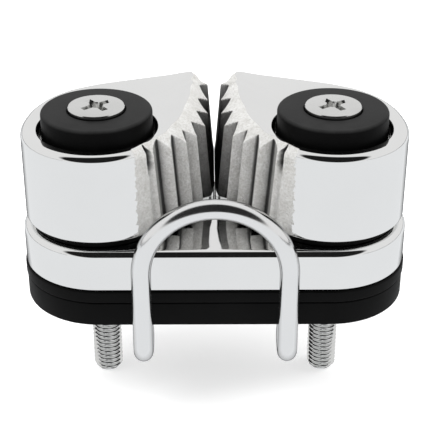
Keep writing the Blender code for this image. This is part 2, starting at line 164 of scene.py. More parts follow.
# Screw: the dome is (radius, rise above HEAD_TOP), the rim is (inset from HEAD_RADIUS, rise)
HEAD_TOP = 33.5
HEAD_RADIUS = 4.6
HEAD_DOME = ((0.02, 0.15), (1.5, 0.14), (3.2, 0.1))
HEAD_RIM = ((0.4, 0.04), (0.12, -0.02), (0.02, -0.14), (0.0, -0.5), (0.1, -0.75))
HEAD_SIDE = 0.5
THREAD_PITCH = 0.8
THREAD_MAJOR = 2.5
THREAD_MINOR = 2.02
THREAD_TOP = 5.0
THREAD_CREST = 0.1
THREAD_FLANK = 0.72
THREAD_ROW = 0.08
SCREW_END = -16.9
SCREW_POINT = 0.9
SCREW_POINT_INSET = 0.75
SCREW_STEPS = 64

# Driver recess: each arm's rows are (reach, half width, rise above HEAD_TOP)
RECESS_TURN = {"left": 38.0, "right": 32.0}
RECESS_ROWS = ((2.8, 0.6, 0.4), (2.4, 0.5, -0.2), (1.0, 0.32, -2.5))
PIT_RADII = (0.4, 1.25)
PIT_DEPTH = 3.2
PIT_BELOW_TOP = 1.1

# Wire leading ring
WIRE_RADIUS = 1.6
ROD_MERGE = 0.001
ARCH_RADIUS = 11.8
ARCH_Y = -14.9
ARCH_SPRING = 10.8
LEG_STEPS = 6
RUN_Z = -5.0
RUN_STEPS = 24
RUN_HANDLES = (0.6, 0.3)
BEND_RADIUS = 2.4
EYE_RADIUS = 4.4
EYE_Z = -3.8
EYE_START = 150.0
EYE_END = -30.0

# Spring
SPRING_WIRE = 0.5
SPRING_RADIUS = 7.2
SPRING_BOTTOM = 15.7
SPRING_PITCH = 1.15
SPRING_TURNS = 3.5
SPRING_STEPS = 48
LEG_BOTTOM = 11.2
LEG_TOP = 22.3

# Painted dark reflection: how far metal darkens as it turns away from the eye, as (share turned away, grey)
THIN_EDGE_REFLECTION = ((0.74, 0.0), (0.9, 0.8))
ROD_EDGE_REFLECTION = ((0.35, 0.0), (0.7, 0.35), (0.95, 0.9))
PAINTED_EDGE_REFLECTION = (0.02, 0.02, 0.02, 1.0)

# Studio
FLOOR_SIZE = 6000.0
FLOOR_GAP = 0.05
FLOOR_GLOW = 0.35
FLOOR_MIRRORED = (0.87, 0.885, 0.9, 1.0)
WORLD_STRENGTH = 0.95
MIRRORED_SKY = 0.9
CANOPY_TONE = 0.012
CANOPY_TILT = 43.0
CANOPY_EDGE = (0.68, 0.76)
HORIZON_TONE = 0.02
HORIZON_EDGE = (0.02, 0.045)
HORIZON_FRONT = -0.7
LIGHT_TARGET = (0.0, 0.0, 15.0)

# Area lights: name, place, size, power in watts
LIGHTS = (
    ("key", (-350.0, -100.0, 550.0), 400.0, 2.2),
    ("fill", (450.0, 100.0, 400.0), 400.0, 1.2),
)

# Camera
CAMERA_PLACE = (-1.1, -177.0, 109.7)
CAMERA_AIM = (0.0054, 0.8797, -0.4756)
CAMERA_LENS = 101.6
CAMERA_SENSOR = 36.0
CAMERA_SHIFT = -0.0053
CAMERA_NEAR = 10.0


# Small helpers

def between(value, low, high):
    """How far value is from low to high, held to 0..1."""
    return min(1.0, max(0.0, (value - low) / (high - low)))


def lookup(pairs, value):
    """Eased value between the (position, value) pairs."""
    for (x0, y0), (x1, y1) in zip(pairs, pairs[1:]):
        if value <= x1:
            share = max(0.0, (value - x0) / (x1 - x0))
            share = share * share * (3.0 - 2.0 * share)
            return y0 + (y1 - y0) * share
    return pairs[-1][1]


def smooth_min(a, b, width):
    """The lesser of two values, rounded over where they are within width of each other."""
    if abs(a - b) >= width:
        return min(a, b)
    share = 0.5 + 0.5 * (b - a) / width
    return b * (1.0 - share) + a * share - width * share * (1.0 - share)


def polar(radius, angle):
    return radius * math.cos(math.radians(angle)), radius * math.sin(math.radians(angle))


def ring_faces(rows, count, closed=False):
    """Quads between neighbouring rings of count points; closed joins the last ring to the first."""
    faces = []
    for row in range(rows if closed else rows - 1):
        above = (row + 1) % rows
        for step in range(count):
            after = (step + 1) % count
            faces.append((row * count + step, row * count + after,
                          above * count + after, above * count + step))
    return faces


def capped_faces(rows, count):
    """Faces of a stack of rings with a cap on its first and last ring."""
    caps = [tuple(range(count)), tuple(range((rows - 1) * count, rows * count))]
    return caps + ring_faces(rows, count)


def shade(mesh, crease):
    """Shades the mesh smooth but for edges sharper than crease."""
    for face in mesh.polygons:
        face.use_smooth = True
    mesh.set_sharp_from_angle(angle=math.radians(crease))


def linked(name, mesh, crease):
    shade(mesh, crease)
    obj = bpy.data.objects.new(name, mesh)
    bpy.context.scene.collection.objects.link(obj)
    return obj


def new_mesh_object(name, points, faces, crease=40.0):
    """A mesh object from points in millimetres, with its faces turned outwards."""
    mesh = bpy.data.meshes.new(name)
    mesh.from_pydata([tuple(c * MM for c in p) for p in points], [], faces)
    bm = bmesh.new()
    bm.from_mesh(mesh)
    bmesh.ops.recalc_face_normals(bm, faces=bm.faces)
    bm.to_mesh(mesh)
    bm.free()
    return linked(name, mesh, crease)


def dress(obj, mat):
    obj.data.materials.clear()
    obj.data.materials.append(mat)


def stand_in(obj, node, body="base"):
    """Puts the piece in the place of a node, on the body that carries it."""
    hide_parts(node)
    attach(obj, body)


def baked(obj):
    """Applies the object's modifiers into its mesh."""
    bpy.context.view_layer.update()
    graph = bpy.context.evaluated_depsgraph_get()
    mesh = bpy.data.meshes.new_from_object(obj.evaluated_get(graph))
    obj.modifiers.clear()
    obj.data = mesh


def cut_with(obj, tools, crease):
    """Cuts the tools out of the object, removes them and shades the object again."""
    for tool in tools:
        modifier = obj.modifiers.new("cut", "BOOLEAN")
        modifier.solver = "EXACT"
        modifier.object = tool
    baked(obj)
    for tool in tools:
        bpy.data.objects.remove(tool)
    shade(obj.data, crease)


# Cam

def outer_knots():
    """(angle, radius) of the plain side: the rear tip, the rear wall, then the bulged cylinder."""
    knots = [(math.degrees(math.atan2(y, x)), math.hypot(x, y)) for x, y in (REAR_TIP, *REAR_WALL)]
    for angle in CYLINDER_ANGLES:
        share = between(angle, CYLINDER_ANGLES[0], CYLINDER_ANGLES[-1])
        knots.append((angle, CAM_RADIUS + OUTER_BULGE * (1.0 - share) ** 2))
    return knots


OUTER_KNOTS = outer_knots()


def outer_radius(angle):
    """Radius of the plain side, on a smooth curve through its knots."""
    knots = OUTER_KNOTS
    for index in range(len(knots) - 1):
        x1, y1 = knots[index]
        x2, y2 = knots[index + 1]
        if angle <= x2:
            x0, y0 = knots[index - 1] if index else (2 * x1 - x2, 2 * y1 - y2)
            x3, y3 = knots[index + 2] if index + 2 < len(knots) else (x2 + 30.0, y2)
            slope_in = (y2 - y0) / (x2 - x0)
            slope_out = (y3 - y1) / (x3 - x1)
            span = x2 - x1
            t = (angle - x1) / span
            first = (2 * t**3 - 3 * t**2 + 1) * y1 + (t**3 - 2 * t**2 + t) * span * slope_in
            return first + (-2 * t**3 + 3 * t**2) * y2 + (t**3 - t**2) * span * slope_out
    return knots[-1][1]


def rear_plane(angle):
    """Radius of the straight line from the last tooth's tip to the rear tip."""
    corner = (CLOSED_REACH, CLOSED_REACH * math.tan(math.radians(TOOTH_TIPS[-1])))
    normal = (REAR_TIP[1] - corner[1], corner[0] - REAR_TIP[0])
    reach = normal[0] * corner[0] + normal[1] * corner[1]
    across, along = polar(1.0, angle)
    return reach / (normal[0] * across + normal[1] * along)


def tip_curve(angle):
    """Radius of the cam's side before any tooth is cut; the tooth tips lie on it."""
    turn = math.radians(angle)
    if angle > OUTER_KNOTS[0][0]:
        return outer_radius(angle)
    if angle > TOOTH_TIPS[-1]:
        return rear_plane(angle)
    wall = CLOSED_REACH / math.cos(turn)
    if angle > WALL_ANGLE:
        return wall
    if angle >= TOOTH_TIPS[0]:
        return min(wall, TIP_RADIUS * math.exp(TIP_GROWTH * turn))
    share = (angle - BAND_START) / (TOOTH_TIPS[0] - BAND_START)
    first = TIP_RADIUS * math.exp(TIP_GROWTH * math.radians(TOOTH_TIPS[0]))
    return CAM_RADIUS + (first - CAM_RADIUS) * share**BAND_POWER


def tooth_share(angle):
    """How far an angle is from one tip to the next, or None where there are no teeth."""
    for start, end in zip(TOOTH_TIPS, TOOTH_TIPS[1:]):
        if start <= angle < end:
            return (angle - start) / (end - start)
    return None


def tooth_cut(angle):
    """How deep the teeth are cut: a ramp down behind each tip, then a steep flank."""
    share = tooth_share(angle)
    if share is None:
        return 0.0
    if share < ROOT_SHARE:
        return TOOTH_DEPTH * (share / ROOT_SHARE) ** RAMP_POWER
    return TOOTH_DEPTH * (1.0 - share) / (1.0 - ROOT_SHARE)


def tooth_painted_shade(angle):
    """Painted shade on the teeth: most of all by the root, and none on the flank."""
    share = tooth_share(angle)
    return 0.0 if share is None else lookup(RAMP_PAINTED_SHADE, share)


def softened_cuts(angles):
    """The tooth cut at each angle, averaged a little with its neighbours."""
    cuts = [tooth_cut(a) for a in angles]
    count = len(cuts)
    return [sum(k * cuts[(i + j - 1) % count] for j, k in enumerate(TOOTH_SOFTENING))
            for i in range(count)]


def hollow(angle, height):
    """Share of the ragged casting hollow, 1 along its middle and 0 outside it."""
    ragged = sum(size * math.sin(rate * height + phase) for size, rate, phase in HOLLOW_WAVES)
    away = abs(angle - HOLLOW_MIDDLE - 0.5 * ragged) / (HOLLOW_HALF_WIDTH + 0.4 * ragged)
    return (0.5 + 0.5 * math.cos(math.pi * away)) if away < 1.0 else 0.0


# Painted shade in the casting hollow, darkest high up where it is deepest
def hollow_painted_shade(angle, height):
    return hollow(angle, height) * max(HOLLOW_LEAST_SHADE, between(height, *HOLLOW_SHADE_RISE))


def groove_cut(angle, height, cut):
    """The tooth cut with the inner grooves closed at their foot and the hollow added."""
    cut *= 1.0 - between(angle, *GROOVE_CLOSING) * (1.0 - between(height, *GROOVE_FOOT))
    shallow, deep = HOLLOW_DEPTH
    return cut + hollow(angle, height) * (shallow + (deep - shallow) * between(height, *HOLLOW_RISE))


def draft(angle, height):
    """How far the toothed side leans away from the other cam."""
    toothed = between(angle, BAND_START, TOOTH_TIPS[0]) * (1.0 - between(angle, *DRAFT_FADE))
    return DRAFT_TOP * toothed * max(0.0, height - CONTACT_TOP) / (CAM_TOP - CONTACT_TOP)


def cam_point(angle, height, cut):
    """(x, y, crown) of the cam's outer side; crown is 1 where the rounded shoulder is the surface."""
    drop = lookup(SHOULDER_DROP, angle)
    width = lookup(SHOULDER_WIDTH, angle)
    power = lookup(SHOULDER_POWER, angle)
    side = tip_curve(angle) - groove_cut(angle, height, cut)
    up = between(height, CAM_TOP - drop, CAM_TOP)
    shoulder = tip_curve(angle) - width * (1.0 - (1.0 - up**power) ** (1.0 / power))
    foot = max(0.0, CAM_BOTTOM + FOOT_EDGE - height)
    radius = smooth_min(side, shoulder, SHOULDER_BLEND)
    radius -= FOOT_EDGE - math.sqrt(max(0.0, FOOT_EDGE**2 - foot**2))
    x, y = polar(radius, angle)
    return x - draft(angle, height), y, 1.0 if shoulder < side else 0.0


def cam_heights():
    """Levels of the outer side: the foot's edge, the wall, then closer ones up the shoulder."""
    heights = [CAM_BOTTOM + FOOT_EDGE * share for share in FOOT_SHARES]
    foot = heights[-1]
    start = CAM_TOP - MOST_DROP
    heights += [foot + (start - foot) * step / WALL_LEVELS for step in range(1, WALL_LEVELS)]
    return heights + [start + MOST_DROP * math.sin(math.radians(a)) for a in range(0, 91, 3)]


def inner_profile():
    """(radius, height) down the rounded rim, the recess, the bore and the spring's pocket."""
    rim = []
    for turn in range(0, 91, 15):
        along, up = polar(RECESS_RIM, turn)
        rim.append((CAM_RECESS + RECESS_RIM - up, CAM_TOP - RECESS_RIM + along))
    return rim + [(CAM_RECESS, RACE_FLOOR), (CAM_BORE, RACE_FLOOR), (CAM_BORE, POCKET_TOP),
                  (POCKET, POCKET_TOP), (POCKET, CAM_BOTTOM)]


def rough_faces(angles, rings, side_rings):
    """Material slot of each cam face: 1 on the rough-cast band, whose front edge is ragged."""
    slots = []
    for level in range(rings):
        wave = ROUGH_WAVE * math.sin(1.7 * level) * math.sin(0.6 * level)
        for angle in angles:
            rough = ROUGH_START + wave < angle < ROUGH_END
            slots.append(1 if rough and level < side_rings else 0)
    return slots


def add_attribute(mesh, name, values):
    """Stores a value on each point, with 0 on the points past the end of the list."""
    values = values + [0.0] * (len(mesh.vertices) - len(values))
    mesh.attributes.new(name, "FLOAT", "POINT").data.foreach_set("value", values)


def build_cam(label, side, polished, rough):
    angles = [BAND_START + 360.0 * step / CAM_STEPS for step in range(CAM_STEPS)]
    heights = cam_heights()
    cuts = softened_cuts(angles)
    rings = []
    crowns = []
    for z in heights:
        ring = [cam_point(a, z, c) for a, c in zip(angles, cuts)]
        rings.append([(x, y, z) for x, y, _ in ring])
        crowns += [crown for _, _, crown in ring]
    for radius, z in inner_profile():
        rings.append([(*polar(radius, a), z) for a in angles])
    points = [(side * (PIVOT_X - x), y, z) for ring in rings for x, y, z in ring]
    faces = ring_faces(len(rings), CAM_STEPS, closed=True)
    obj = new_mesh_object(f"cast_cam_{label}", points, faces, crease=38.0)
    obj.data.materials.append(polished)
    obj.data.materials.append(rough)
    slots = rough_faces(angles, len(rings), len(heights) - 1)
    obj.data.polygons.foreach_set("material_index", slots)
    # Painted shade: in the tooth roots and the casting hollow, and on the inner teeth
    root_painted_shade = [max(tooth_painted_shade(a), hollow_painted_shade(a, z)) for z in heights for a in angles]
    inner = [between(a, *INNER_SHADE_START) * (1.0 - between(a, *INNER_SHADE_END)) for a in angles]
    add_attribute(obj.data, "crown", crowns)
    add_attribute(obj.data, "root", root_painted_shade)
    add_attribute(obj.data, "inner", inner * len(heights))
    stand_in(obj, f"cam_{label}", f"cam_{label}")


# Bush and screw

def rounded(radius, height, edge, steps=6):
    """Profile points round an outer top corner, from the top face to the side."""
    made = []
    for step in range(steps + 1):
        across, up = polar(edge, 90.0 - 90.0 * step / steps)
        made.append((radius - edge + across, height - edge + up))
    return made


def lathe(name, profile, steps, centre_x, crease=35.0):
    """A closed ring profile of (radius, height) turned about a vertical axis."""
    points = []
    for step in range(steps):
        across, along = polar(1.0, 360.0 * step / steps)
        points += [(centre_x + r * across, r * along, z) for r, z in profile]
    return new_mesh_object(name, points, ring_faces(steps, len(profile), closed=True), crease)


def build_bush(label, side, mat):
    seat = HEAD_RADIUS + SEAT_SPARE
    sleeve_end = SLEEVE_TOP + SLEEVE_SPARE
    profile = [(BUSH_BORE, BUSH_FOOT), (BUSH_BORE, sleeve_end), (SCREW_HOLE, sleeve_end),
               (SCREW_HOLE, SEAT_FOOT), (seat, FLANGE_TOP - SEAT_WALL),
               (seat, FLANGE_TOP - SEAT_SPARE), (seat + SEAT_SPARE, FLANGE_TOP)]
    profile += rounded(FLANGE_RADIUS, FLANGE_TOP, FLANGE_EDGE)
    profile += [(FLANGE_RADIUS, FLANGE_BOTTOM + FLANGE_UNDER_EDGE),
                (FLANGE_RADIUS - FLANGE_UNDER_EDGE, FLANGE_BOTTOM),
                (BUSH_TUBE, FLANGE_BOTTOM), (BUSH_TUBE, BUSH_FOOT)]
    obj = lathe(f"moulded_bush_{label}", profile, BUSH_STEPS, side * PIVOT_X)
    dress(obj, mat)
    stand_in(obj, f"pivot_bush_{label}")


def thread_radius(z, angle):
    """Radius of the threaded length: a V thread of about 60 degrees with small flats, wound left-handed."""
    phase = (z / THREAD_PITCH + angle / 360.0) % 1.0
    wave = abs(2.0 * phase - 1.0)
    wave = between(wave, THREAD_CREST, THREAD_CREST + THREAD_FLANK)
    start = between(THREAD_TOP - z, 0.0, THREAD_PITCH)
    radius = THREAD_MAJOR - (THREAD_MAJOR - THREAD_MINOR) * (1.0 - wave) * start
    point = max(0.0, (SCREW_END + SCREW_POINT) - z) / SCREW_POINT
    return min(radius, THREAD_MAJOR - SCREW_POINT_INSET * point)


def head_profile():
    """(radius, height) from the middle of the head's dome down its cone to the shank."""
    neck = HEAD_TOP - HEAD_SIDE - (HEAD_RADIUS - THREAD_MAJOR)
    dome = [(radius, HEAD_TOP + rise) for radius, rise in HEAD_DOME]
    rim = [(HEAD_RADIUS - inset, HEAD_TOP + rise) for inset, rise in HEAD_RIM]
    return dome + rim + [(THREAD_MAJOR + 0.1, neck), (THREAD_MAJOR, neck - 0.3)]


def cross_arm(angle, centre_x):
    """One tapered bar of the driver recess, as a cutter."""
    across, along = polar(1.0, angle)
    points = []
    for reach, half, rise in RECESS_ROWS:
        for x, y in ((reach, half), (-reach, half), (-reach, -half), (reach, -half)):
            points.append((centre_x + x * across - y * along, x * along + y * across, HEAD_TOP + rise))
    return new_mesh_object("recess_arm", points, capped_faces(len(RECESS_ROWS), 4))


def recess_pit(centre_x):
    """The recess's round middle, as a cutter."""
    bottom, top = PIT_RADII
    place = (centre_x * MM, 0.0, (HEAD_TOP - PIT_BELOW_TOP) * MM)
    bpy.ops.mesh.primitive_cone_add(vertices=32, radius1=bottom * MM, radius2=top * MM,
                                    depth=PIT_DEPTH * MM, location=place)
    return bpy.context.object


def build_screw(label, side, mat):
    centre_x = side * PIVOT_X
    angles = [360.0 * step / SCREW_STEPS for step in range(SCREW_STEPS)]
    rows = [[point] * SCREW_STEPS for point in head_profile()]
    count = int((THREAD_TOP - SCREW_END) / THREAD_ROW)
    for row in range(count + 1):
        z = THREAD_TOP - (THREAD_TOP - SCREW_END) * row / count
        rows.append([(thread_radius(z, a), z) for a in angles])
    rows.append([(HEAD_DOME[0][0], SCREW_END)] * SCREW_STEPS)
    points = []
    for row in rows:
        for (radius, z), angle in zip(row, angles):
            x, y = polar(radius, angle)
            points.append((centre_x + x, y, z))
    faces = capped_faces(len(rows), SCREW_STEPS)
    obj = new_mesh_object(f"countersunk_screw_{label}", points, faces, crease=30.0)
    turn = RECESS_TURN[label]
    tools = [cross_arm(turn, centre_x), cross_arm(turn + 90.0, centre_x), recess_pit(centre_x)]
    cut_with(obj, tools, crease=30.0)
    dress(obj, mat)
    stand_in(obj, f"mounting_screw_{label}")


# Base and pad

def stadium(radius):
    """Outline of the base: two half circles about the pivots, joined by straight sides."""
    points = []
    for centre, start in ((PIVOT_X, -90.0), (-PIVOT_X, 90.0)):
        for step in range(SLAB_ARC_STEPS + 1):
            x, y = polar(radius, start + 180.0 * step / SLAB_ARC_STEPS)
            points.append((centre + x, y))
    return points


def bore_cutter(side):
    bpy.ops.mesh.primitive_cylinder_add(vertices=48, radius=SCREW_BORE * MM, depth=CUTTER_LENGTH * MM,
                                        location=(side * PIVOT_X * MM, 0.0, CUTTER_MIDDLE * MM))
    return bpy.context.object


def build_slab(name, node, slot, half_width, bottom, top, edge, bottom_edge, mat):
    """A stadium slab with rounded edges and a clearance bore on each pivot."""
    rows = []
    for angle in range(0, 91, 18):
        across, up = polar(bottom_edge, angle)
        rows.append((half_width - bottom_edge + up, bottom + bottom_edge - across))
    for angle in range(0, 91, 9):
        across, up = polar(edge, angle)
        rows.append((half_width - edge + across, top - edge + up))
    points = [(x, y, z) for radius, z in rows for x, y in stadium(radius)]
    faces = capped_faces(len(rows), len(points) // len(rows))
    obj = new_mesh_object(name, points, faces, crease=30.0)
    cut_with(obj, [bore_cutter(side) for side in SIDES.values()], crease=30.0)
    dress(obj, mat)
    stand_in(obj, node)


# Wire and spring

def arc(centre, first, second, radius, start, end, steps):
    """Points round an arc in the plane of two directions."""
    made = []
    for step in range(steps + 1):
        across, up = polar(radius, start + (end - start) * step / steps)
        made.append(centre + across * first + up * second)
    return made


def wire_half(side):
    """The wire's middle line from the top of the arch down, back and round one screw."""
    across, up, back = Vector((side, 0, 0)), Vector((0, 0, 1)), Vector((0, 1, 0))
    points = arc(Vector((0, ARCH_Y, ARCH_SPRING)), across, up, ARCH_RADIUS, 90.0, 0.0, 48)
    foot = RUN_Z + BEND_RADIUS
    for step in range(1, LEG_STEPS):
        z = ARCH_SPRING + (foot - ARCH_SPRING) * step / LEG_STEPS
        points.append(Vector((side * ARCH_RADIUS, ARCH_Y, z)))
    bend = Vector((side * ARCH_RADIUS, ARCH_Y + BEND_RADIUS, foot))
    points += arc(bend, -back, -up, BEND_RADIUS, 0.0, 90.0, 16)
    eye = Vector((side * PIVOT_X, 0, EYE_Z))
    ring = arc(eye, across, back, EYE_RADIUS, EYE_START, EYE_END, 48)
    start, end = points[-1], ring[0]
    length = (end - start).length
    leaving = start + back * length * RUN_HANDLES[0]
    arriving = end + (ring[0] - ring[1]).normalized() * length * RUN_HANDLES[1]
    for step in range(1, RUN_STEPS):
        t = step / RUN_STEPS
        near = (1 - t) ** 3 * start + 3 * (1 - t) ** 2 * t * leaving
        points.append(near + 3 * (1 - t) * t * t * arriving + t**3 * end)
    return points + ring


def rod(name, points, radius, mat, resolution):
    """A round bar along a line of points, with closed ends."""
    curve = bpy.data.curves.new(name + "_path", "CURVE")
    curve.dimensions = "3D"
    curve.bevel_depth = radius * MM
    curve.bevel_resolution = resolution
    curve.use_fill_caps = True
    spline = curve.splines.new("POLY")
    spline.points.add(len(points) - 1)
    for slot, point in zip(spline.points, points):
        slot.co = (*(point * MM), 1.0)
    source = bpy.data.objects.new(name + "_path", curve)
    bpy.context.scene.collection.objects.link(source)
    bpy.context.view_layer.update()
    graph = bpy.context.evaluated_depsgraph_get()
    mesh = bpy.data.meshes.new_from_object(source.evaluated_get(graph))
    bpy.data.objects.remove(source)
    bm = bmesh.new()
    bm.from_mesh(mesh)
    bmesh.ops.remove_doubles(bm, verts=bm.verts, dist=ROD_MERGE * MM)
    bm.to_mesh(mesh)
    bm.free()
    obj = linked(name, mesh, crease=50.0)
    dress(obj, mat)
    return obj


def build_wire(mat):
    """The wire, left out of mirror images because it draws black streaks on the polished walls."""
    points = list(reversed(wire_half(-1.0))) + wire_half(1.0)[1:]
    obj = rod("leading_ring_wire", points, WIRE_RADIUS, mat, 8)
    obj.visible_glossy = False
    stand_in(obj, "wire_leading_ring")


def build_spring(label, side, mat):
    """The spring's coil, which winds up between the base and its cam."""
    centre = Vector((side * PIVOT_X, 0, 0))
    points = []
    for step in range(int(SPRING_TURNS * SPRING_STEPS) + 1):
        x, y = polar(SPRING_RADIUS, 360.0 * step / SPRING_STEPS)
        height = SPRING_BOTTOM + SPRING_PITCH * step / SPRING_STEPS
        points.append(centre + Vector((side * x, y, height)))
    foot, head = points[0].copy(), points[-1].copy()
    foot.z, head.z = LEG_BOTTOM, LEG_TOP
    obj = rod(f"wound_spring_{label}", [foot] + points + [head], SPRING_WIRE, mat, 3)
    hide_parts(f"torsion_spring_{label}")
    x = side * PIVOT_X * MM
    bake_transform(obj)


# Materials

def grey(tone):
    return (tone, tone, tone)


def shader_of(name):
    made = bpy.data.materials.new(name)
    made.use_nodes = True
    tree = made.node_tree
    return made, tree, tree.nodes["Principled BSDF"]


def noise(tree, scale, detail, rough=0.55):
    coord = tree.nodes.new("ShaderNodeTexCoord")
    made = tree.nodes.new("ShaderNodeTexNoise")
    made.inputs["Scale"].default_value = scale
    made.inputs["Detail"].default_value = detail
    made.inputs["Roughness"].default_value = rough
    tree.links.new(coord.outputs["Object"], made.inputs["Vector"])
    return made.outputs["Fac"]


def ramp(tree, source, stops):
    """Colour by value; each stop is (position, colour), and a number is a grey."""
    made = tree.nodes.new("ShaderNodeValToRGB")
    elements = made.color_ramp.elements
    while len(elements) < len(stops):
        elements.new(0.5)
    for element, (position, color) in zip(elements, stops):
        color = grey(color) if isinstance(color, float) else color
        element.position = position
        element.color = (*color, 1.0)
    tree.links.new(source, made.inputs["Fac"])
    return made.outputs["Color"]


def bump(tree, source, strength, distance_mm):
    made = tree.nodes.new("ShaderNodeBump")
    made.inputs["Strength"].default_value = strength
    made.inputs["Distance"].default_value = distance_mm * MM
    tree.links.new(source, made.inputs["Height"])
    return made.outputs["Normal"]


def color_mix(tree, factor, first, second, blend="MIX"):
    """Mixes two colours; the factor and each colour are an output or a plain value."""
    mix = tree.nodes.new("ShaderNodeMix")
    mix.data_type = "RGBA"
    mix.blend_type = blend
    for name, value in (("Factor", factor), ("A", first), ("B", second)):
        if isinstance(value, bpy.types.NodeSocket):
            tree.links.new(value, mix.inputs[name])
        else:
            mix.inputs[name].default_value = value
    return mix.outputs["Result"]


def multiplied(tree, first, second):
    return color_mix(tree, 1.0, first, second, "MULTIPLY")


def mix_surface(tree, factor, first, second):
    """Sets the material's surface to a mix of two shaders."""
    mix = tree.nodes.new("ShaderNodeMixShader")
    tree.links.new(factor, mix.inputs["Fac"])
    tree.links.new(first, mix.inputs[1])
    tree.links.new(second, mix.inputs[2])
    tree.links.new(mix.outputs["Shader"], tree.nodes["Material Output"].inputs["Surface"])


def paint_edge_reflection(tree, shader, stops):
    """Paints a dark reflection on the metal where it turns away from the eye, as dark cards beside it would
    mirror.
    """
    facing = tree.nodes.new("ShaderNodeLayerWeight")
    facing.inputs["Blend"].default_value = 0.5
    dark = tree.nodes.new("ShaderNodeBsdfDiffuse")
    dark.inputs["Color"].default_value = PAINTED_EDGE_REFLECTION
    share = ramp(tree, facing.outputs["Facing"], stops)
    mix_surface(tree, share, shader.outputs["BSDF"], dark.outputs["BSDF"])


def metal(name, color, roughness, scale, bump_mm, vary, edges=THIN_EDGE_REFLECTION):
    """Metal whose colour, roughness and surface vary a little from place to place."""
    made, tree, shader = shader_of(name)
    shader.inputs["Metallic"].default_value = 1.0
    field = noise(tree, scale, 6.0)
    low = tuple(max(0.0, c - vary) for c in color)
    tone = ramp(tree, field, ((0.3, low), (0.7, color)))
    tree.links.new(tone, shader.inputs["Base Color"])
    # Painted dark reflection where the metal turns away from the eye
    paint_edge_reflection(tree, shader, edges)
    polish = ramp(tree, field, ((0.3, roughness[0]), (0.75, roughness[1])))
    tree.links.new(polish, shader.inputs["Roughness"])
    fine = noise(tree, scale * 6.0, 8.0)
    tree.links.new(bump(tree, fine, 0.6, bump_mm), shader.inputs["Normal"])
    return made


def painted_occlusion_shade(tree, reach_mm, dark, light):
    """Painted shade: grey that falls towards black where other surfaces stand within reach."""
    occlusion = tree.nodes.new("ShaderNodeAmbientOcclusion")
    occlusion.inputs["Distance"].default_value = reach_mm * MM
    occlusion.samples = 8
    return ramp(tree, occlusion.outputs["AO"], ((dark, 0.02), (light, 1.0)))


def attribute(tree, name):
    made = tree.nodes.new("ShaderNodeAttribute")
    made.attribute_name = name
    return made.outputs["Fac"]


def rough_cast():
    """Unpolished casting: grainy and pale, with painted shade in the tooth roots, the hollow and on the
    inner teeth, which the crown is kept clear of, and painted occlusion shade all over.
    """
    made, tree, shader = shader_of("rough_cast_teeth")
    shader.inputs["Metallic"].default_value = 0.3
    coarse = noise(tree, 420.0, 8.0, 0.7)
    fine = noise(tree, 2600.0, 8.0, 0.75)
    tones = ((0.25, (0.74, 0.73, 0.7)), (0.5, (0.9, 0.895, 0.88)), (0.75, (1.0, 1.0, 0.99)))
    grain = ramp(tree, fine, ((0.3, (0.7, 0.69, 0.66)), (0.6, 1.0)))
    color = multiplied(tree, ramp(tree, coarse, tones), grain)
    # Painted shade in the tooth roots, the hollow and on the inner teeth, but not on the crown
    root_painted_shade = ramp(tree, attribute(tree, "root"), ((0.0, 0.95), (0.45, 0.42), (0.95, 0.05)))
    inner = ramp(tree, attribute(tree, "inner"), ((0.0, 1.0), (1.0, 0.2)))
    white = (1.0, 1.0, 1.0, 1.0)
    tone = color_mix(tree, attribute(tree, "crown"), multiplied(tree, root_painted_shade, inner), white)
    # Painted occlusion shade
    color = multiplied(tree, multiplied(tree, color, tone), painted_occlusion_shade(tree, 7.0, 0.25, 0.62))
    tree.links.new(color, shader.inputs["Base Color"])
    tree.links.new(ramp(tree, fine, ((0.3, 0.4), (0.7, 0.65))), shader.inputs["Roughness"])
    both = tree.nodes.new("ShaderNodeMath")
    both.operation = "ADD"
    tree.links.new(coarse, both.inputs[0])
    tree.links.new(fine, both.inputs[1])
    tree.links.new(bump(tree, both.outputs["Value"], 1.0, 0.35), shader.inputs["Normal"])
    return made


def plastic(name, tones, roughness, scale, bump_mm, gloss, painted_side_shade):
    """Grained black plastic, with shade painted on its sides, which are darkened to painted_side_shade of
    its upward faces.
    """
    made, tree, shader = shader_of(name)
    shader.inputs["Specular IOR Level"].default_value = gloss
    field = noise(tree, scale, 8.0, 0.65)
    # Painted shade: the sides darker than the upward faces
    normal = tree.nodes.new("ShaderNodeSeparateXYZ")
    geometry = tree.nodes.new("ShaderNodeNewGeometry")
    tree.links.new(geometry.outputs["True Normal"], normal.inputs["Vector"])
    upward = ramp(tree, normal.outputs["Z"], ((0.2, painted_side_shade), (0.9, 1.0)))
    color = multiplied(tree, ramp(tree, field, ((0.3, tones[0]), (0.75, tones[1]))), upward)
    tree.links.new(color, shader.inputs["Base Color"])
    polish = ramp(tree, field, ((0.3, roughness[0]), (0.7, roughness[1])))
    tree.links.new(polish, shader.inputs["Roughness"])
    fine = noise(tree, scale * 4.0, 8.0, 0.7)
    tree.links.new(bump(tree, fine, 0.5, bump_mm), shader.inputs["Normal"])
    return made


# Studio

def build_floor():
    """A pale floor, with a slightly greyer tone where polished metal mirrors it."""
    bpy.ops.mesh.primitive_plane_add(size=FLOOR_SIZE * MM,
                                     location=(0, 0, (SCREW_END - FLOOR_GAP) * MM))
    floor = bpy.context.object
    floor.name = "studio_floor"
    made, tree, shader = shader_of("floor_white")
    tone = ramp(tree, noise(tree, 3.0, 2.0), ((0.3, 0.9), (0.7, 0.93)))
    tree.links.new(tone, shader.inputs["Base Color"])
    shader.inputs["Roughness"].default_value = 0.9
    shader.inputs["Specular IOR Level"].default_value = 0.0
    shader.inputs["Emission Color"].default_value = (1, 1, 1, 1)
    shader.inputs["Emission Strength"].default_value = FLOOR_GLOW
    mirrored = tree.nodes.new("ShaderNodeEmission")
    mirrored.inputs["Color"].default_value = FLOOR_MIRRORED
    path = tree.nodes.new("ShaderNodeLightPath")
    mix_surface(tree, path.outputs["Is Glossy Ray"], shader.outputs["BSDF"],
                mirrored.outputs["Emission"])
    floor.data.materials.append(made)


